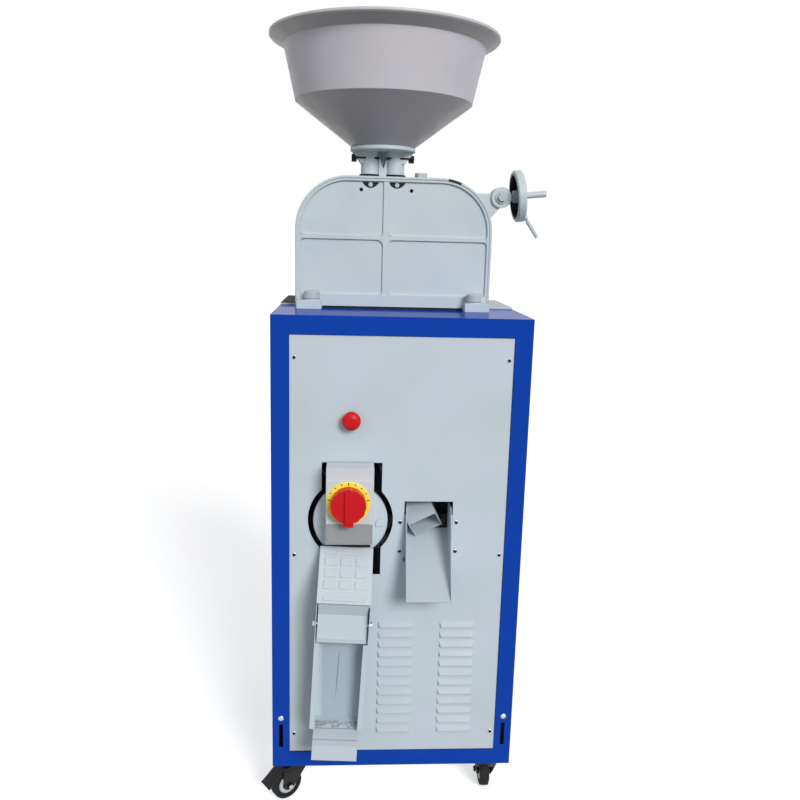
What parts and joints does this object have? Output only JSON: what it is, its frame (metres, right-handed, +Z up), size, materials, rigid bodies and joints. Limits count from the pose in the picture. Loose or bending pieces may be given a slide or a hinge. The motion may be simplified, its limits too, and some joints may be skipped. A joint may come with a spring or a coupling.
{
  "type": "rice polisher",
  "caption": "Combined rice mill: round feed hopper over a rubber-roller husker on a wheeled cabinet that holds the whitening mill, motor and bran fan, with front chute and tray.",
  "frame": {"origin": "middle of the bounding box's footprint, on the floor", "axes": "+Z up, +X to the machine's right seen from its front, +Y from the front to the back"},
  "size_m": [0.6596, 0.625, 1.772],
  "materials": {
    "blue_paint": "semi-gloss powder coat",
    "grey_paint": "satin powder coat",
    "casing_paint": "satin paint on cast and sheet metal",
    "bolt_paint": "satin paint over bolt heads",
    "hopper_paint": "satin paint",
    "bare_steel": "plain turned or rolled steel",
    "iron_casting": "cast, painted grey",
    "white_cover": "satin white paint",
    "black_parts": "black paint",
    "red_plastic": "gloss",
    "yellow_plastic": "satin",
    "grey_plastic": "satin",
    "roller_rubber": "matte",
    "zinc_plate": "bright zinc",
    "wheel_rubber": "matte",
    "pedal_steel": "black paint"
  },
  "bodies": {
    "cabinet": {"left_side_panel": "blue_paint", "right_side_panel": "blue_paint", "top_panel": "blue_paint", "bottom_sill": "blue_paint", "base_plate": "bare_steel", "rear_top_cover": "grey_paint", "rear_panel": "grey_paint", "front_panel": "grey_paint", "panel_screws": "bare_steel", "estop_collar": "black_parts", "switch_box": "grey_plastic", "switch_plate": "grey_plastic", "switch_dial": "yellow_plastic", "mill_front_housing": "grey_paint", "mill_case": "iron_casting", "mill_stand": "bare_steel", "chute_throat": "grey_paint", "chute_cover": "white_cover", "chute_pins": "bare_steel", "outlet_tray": "grey_paint", "return_duct": "grey_paint", "feed_pipe": "grey_paint", "motor_housing": "iron_casting", "fan_housing": "iron_casting", "bran_duct": "bare_steel", "drive_belts": "roller_rubber", "shaft_bearings": "bare_steel", "husker_casing": "casing_paint", "husker_rear_plate": "casing_paint", "husker_bolts": "bolt_paint", "adjuster_bracket": "casing_paint", "neck_casting": "casing_paint", "hopper_bowl": "hopper_paint", "belt_guard": "grey_paint", "caster_plates": "zinc_plate"},
    "estop_body": {"estop_button": "red_plastic"},
    "switch_body": {"switch_knob": "red_plastic"},
    "trough_body": {"chute_trough": "grey_paint"},
    "gate_left_body": {"feed_gate_left": "black_parts"},
    "gate_right_body": {"feed_gate_right": "black_parts"},
    "motor_body": {"motor_rotor": "iron_casting"},
    "mill_body": {"mill_shaft": "bare_steel", "mill_roller": "iron_casting"},
    "fan_body": {"fan_rotor": "iron_casting"},
    "fast_body": {"fast_roller": "roller_rubber"},
    "yoke_body": {"roller_yoke": "iron_casting"},
    "slow_body": {"slow_roller": "roller_rubber"},
    "handwheel_body": {"handwheel": "casing_paint", "adjusting_screw": "casing_paint"},
    "crank_body": {"crank_handle": "casing_paint"},
    "fork_front_left": {"caster_fork_front_left": "black_parts"},
    "wheel_front_left": {"caster_wheel_front_left": "wheel_rubber"},
    "pedal_front_left": {"brake_pedal_front_left": "pedal_steel"},
    "fork_front_right": {"caster_fork_front_right": "black_parts"},
    "wheel_front_right": {"caster_wheel_front_right": "wheel_rubber"},
    "pedal_front_right": {"brake_pedal_front_right": "pedal_steel"},
    "fork_rear_left": {"caster_fork_rear_left": "black_parts"},
    "wheel_rear_left": {"caster_wheel_rear_left": "wheel_rubber"},
    "fork_rear_right": {"caster_fork_rear_right": "black_parts"},
    "wheel_rear_right": {"caster_wheel_rear_right": "wheel_rubber"}
  },
  "joints": [
    {"name": "estop_press", "type": "slide", "parent": "cabinet", "child": "estop_body", "axis": [0, 1, 0], "range_m": [0, 0.004], "stiffness_N_per_m": 800},
    {"name": "switch_turn", "type": "hinge", "parent": "cabinet", "child": "switch_body", "pos_m": [-0.1313, -0.2745, 0.771], "axis": [0, 1, 0], "range_deg": [0, 90]},
    {"name": "trough_swing", "type": "hinge", "parent": "cabinet", "child": "trough_body", "pos_m": [-0.14077, -0.2825, 0.50018], "axis": [-0.9988, 0, 0.0488], "range_deg": [0, 25]},
    {"name": "gate_left_slide", "type": "slide", "parent": "cabinet", "child": "gate_left_body", "axis": [-1, 0, 0], "range_m": [0, 0.04]},
    {"name": "gate_right_slide", "type": "slide", "parent": "cabinet", "child": "gate_right_body", "axis": [1, 0, 0], "range_m": [0, 0.04]},
    {"name": "motor_spin", "type": "hinge", "parent": "cabinet", "child": "motor_body", "pos_m": [0.0747, 0.0855, 0.227], "axis": [0, 1, 0], "continuous": true},
    {"name": "mill_spin", "type": "hinge", "parent": "cabinet", "child": "mill_body", "pos_m": [-0.1263, 0.0855, 0.714], "axis": [0, 1, 0], "continuous": true},
    {"name": "fan_spin", "type": "hinge", "parent": "cabinet", "child": "fan_body", "pos_m": [-0.1263, 0.0855, 0.275], "axis": [0, 1, 0], "continuous": true},
    {"name": "fast_spin", "type": "hinge", "parent": "cabinet", "child": "fast_body", "pos_m": [-0.1253, 0.0855, 1.305], "axis": [0, 1, 0], "continuous": true},
    {"name": "handwheel_turn", "type": "hinge", "parent": "cabinet", "child": "handwheel_body", "pos_m": [0.2197, 0.0505, 1.4275], "axis": [0.9936, 0, 0.1132], "range_deg": [0, 864]},
    {"name": "yoke_swing", "type": "hinge", "parent": "cabinet", "child": "yoke_body", "pos_m": [0.0397, 0.0855, 1.205], "axis": [0, 1, 0], "range_deg": [0, 2.5]},
    {"name": "slow_spin", "type": "hinge", "parent": "yoke_body", "child": "slow_body", "pos_m": [0.0267, 0.0855, 1.305], "axis": [0, 1, 0], "continuous": true},
    {"name": "crank_fold", "type": "hinge", "parent": "handwheel_body", "child": "crank_body", "pos_m": [0.28282, 0.0505, 1.38236], "axis": [0, 1, 0], "range_deg": [-62, 0]},
    {"name": "swivel_front_left", "type": "hinge", "parent": "cabinet", "child": "fork_front_left", "pos_m": [-0.2523, -0.1645, 0.105], "axis": [0, 0, 1], "continuous": true},
    {"name": "roll_front_left", "type": "hinge", "parent": "fork_front_left", "child": "wheel_front_left", "pos_m": [-0.27196, -0.17827, 0.0375], "axis": [0.5736, -0.8192, 0], "continuous": true},
    {"name": "brake_front_left", "type": "hinge", "parent": "fork_front_left", "child": "pedal_front_left", "pos_m": [-0.28015, -0.184, 0.082], "axis": [0.5736, -0.8192, 0], "range_deg": [0, 6.1]},
    {"name": "swivel_front_right", "type": "hinge", "parent": "cabinet", "child": "fork_front_right", "pos_m": [0.2117, -0.1645, 0.105], "axis": [0, 0, 1], "continuous": true},
    {"name": "roll_front_right", "type": "hinge", "parent": "fork_front_right", "child": "wheel_front_right", "pos_m": [0.21254, -0.14052, 0.0375], "axis": [-0.9994, 0.0349, 0], "continuous": true},
    {"name": "brake_front_right", "type": "hinge", "parent": "fork_front_right", "child": "pedal_front_right", "pos_m": [0.21289, -0.13052, 0.082], "axis": [-0.9994, 0.0349, 0], "range_deg": [0, 6.1]},
    {"name": "swivel_rear_left", "type": "hinge", "parent": "cabinet", "child": "fork_rear_left", "pos_m": [-0.2523, 0.2195, 0.105], "axis": [0, 0, 1], "continuous": true},
    {"name": "roll_rear_left", "type": "hinge", "parent": "fork_rear_left", "child": "wheel_rear_left", "pos_m": [-0.26051, 0.24205, 0.0375], "axis": [-0.9397, -0.342, 0], "continuous": true},
    {"name": "swivel_rear_right", "type": "hinge", "parent": "cabinet", "child": "fork_rear_right", "pos_m": [0.2117, 0.2195, 0.105], "axis": [0, 0, 1], "continuous": true},
    {"name": "roll_rear_right", "type": "hinge", "parent": "fork_rear_right", "child": "wheel_rear_right", "pos_m": [0.2237, 0.24028, 0.0375], "axis": [-0.866, 0.5, 0], "continuous": true}
  ],
  "couplings": [
    {"joint": "mill_spin", "follows": "motor_spin", "ratio": 0.625},
    {"joint": "fan_spin", "follows": "motor_spin", "ratio": 1.2857},
    {"joint": "fast_spin", "follows": "motor_spin", "ratio": 0.46875},
    {"joint": "slow_spin", "follows": "motor_spin", "ratio": -0.35972},
    {"joint": "yoke_swing", "follows": "handwheel_turn", "ratio": 0.0028935}
  ]
}
